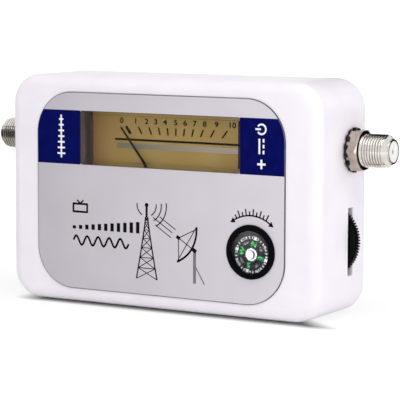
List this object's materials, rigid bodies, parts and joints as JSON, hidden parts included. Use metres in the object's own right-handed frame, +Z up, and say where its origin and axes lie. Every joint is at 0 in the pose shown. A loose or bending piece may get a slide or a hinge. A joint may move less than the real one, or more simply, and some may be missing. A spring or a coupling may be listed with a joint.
{
  "type": "tv signal finder",
  "caption": "Handheld TV aerial signal finder: white case with needle meter, compass, thumb-wheel gain control and a threaded coaxial port at each end.",
  "frame": {"origin": "middle of the flat bottom side of the case", "axes": "+Z up with the finder standing on its long side; the face looks along -Y; +X along the length, towards the receiver port"},
  "size_m": [0.1309, 0.0309, 0.066],
  "materials": {
    "white_shell": "smooth white moulded ABS",
    "label_plate": "silver-grey printed plate, satin",
    "clear_plastic": "clear moulded acrylic",
    "dark_plastic": "dark moulded plastic",
    "dial": "translucent amber dial",
    "black_plastic": "black moulded nylon",
    "gloss_black": "gloss black acrylic",
    "needle_black": "black lacquered blade",
    "nickel": "bright nickel plate",
    "tinned": "tinned sheet",
    "zinc_screw": "zinc plated steel",
    "iron": "soft iron",
    "magnet": "sintered magnet alloy",
    "brass": "plain turned brass",
    "copper_wire": "enamelled copper wire",
    "aluminium": "thin folded aluminium",
    "spring_bronze": "phosphor bronze strip",
    "white_core": "white polyethylene",
    "white_cap": "white moulded cap",
    "card_black": "black card, printed",
    "board_green": "green solder mask",
    "chip_black": "moulded epoxy",
    "can_silver": "aluminium can",
    "ferrite": "ferrite drum with wire",
    "part_body": "ceramic chip with tinned ends",
    "diode_glass": "glass body",
    "led_amber": "diffused amber epoxy",
    "red_sleeve": "red wire sleeve",
    "black_sleeve": "black wire sleeve"
  },
  "bodies": {
    "case": {"antenna_port_barrel": "nickel", "antenna_port_contact": "tinned", "antenna_port_insulator": "white_core", "antenna_port_nut": "nickel", "antenna_port_washer": "iron", "backlight_leds": "led_amber", "board_screws": "zinc_screw", "bridge_screws": "zinc_screw", "case_screws": "zinc_screw", "chip_parts": "part_body", "chokes": "ferrite", "circuit_board": "board_green", "compass_housing": "gloss_black", "compass_lens": "clear_plastic", "compass_pin": "zinc_screw", "core_magnet": "magnet", "core_spacers": "brass", "diodes": "diode_glass", "electrolytic_capacitors": "can_silver", "face_label": "label_plate", "front_bridge": "brass", "front_case": "white_shell", "hairspring": "spring_bronze", "meter_base": "dark_plastic", "meter_cover": "clear_plastic", "meter_screws": "zinc_screw", "meter_terminals": "brass", "meter_yoke": "iron", "negative_lead": "black_sleeve", "pivot_jewel": "brass", "positive_lead": "red_sleeve", "potentiometer_body": "black_plastic", "potentiometer_tags": "tinned", "rear_cover": "white_shell", "receiver_port_barrel": "nickel", "receiver_port_contact": "tinned", "receiver_port_insulator": "white_core", "receiver_port_nut": "nickel", "receiver_port_washer": "iron", "scale_plate": "dial", "shield_can": "tinned", "signal_chips": "chip_black", "voltage_regulator": "chip_black"},
    "pointer": {"needle": "needle_black", "needle_hub": "brass", "counterweight": "brass", "pointer_shafts": "zinc_screw", "coil_frame": "aluminium", "coil_winding": "copper_wire"},
    "compass_card": {"compass_card": "card_black", "compass_hub": "white_cap", "compass_magnets": "magnet"},
    "gain_control": {"gain_wheel": "black_plastic", "wheel_screw": "zinc_screw", "potentiometer_shaft": "aluminium"}
  },
  "joints": [
    {"name": "needle_swing", "type": "hinge", "parent": "case", "child": "pointer", "pos_m": [0.0021, 0, 0.0303], "axis": [0, 1, 0], "range_deg": [0, 77], "stiffness_Nm_per_rad": 0.00002, "deforming": ["hairspring"]},
    {"name": "compass_turn", "type": "hinge", "parent": "case", "child": "compass_card", "pos_m": [0.0299, 0, 0.0181], "axis": [0, 1, 0], "continuous": true},
    {"name": "gain_turn", "type": "hinge", "parent": "case", "child": "gain_control", "pos_m": [0.0429, 0, 0.021], "axis": [0, 1, 0], "range_deg": [-135, 135]}
  ]
}
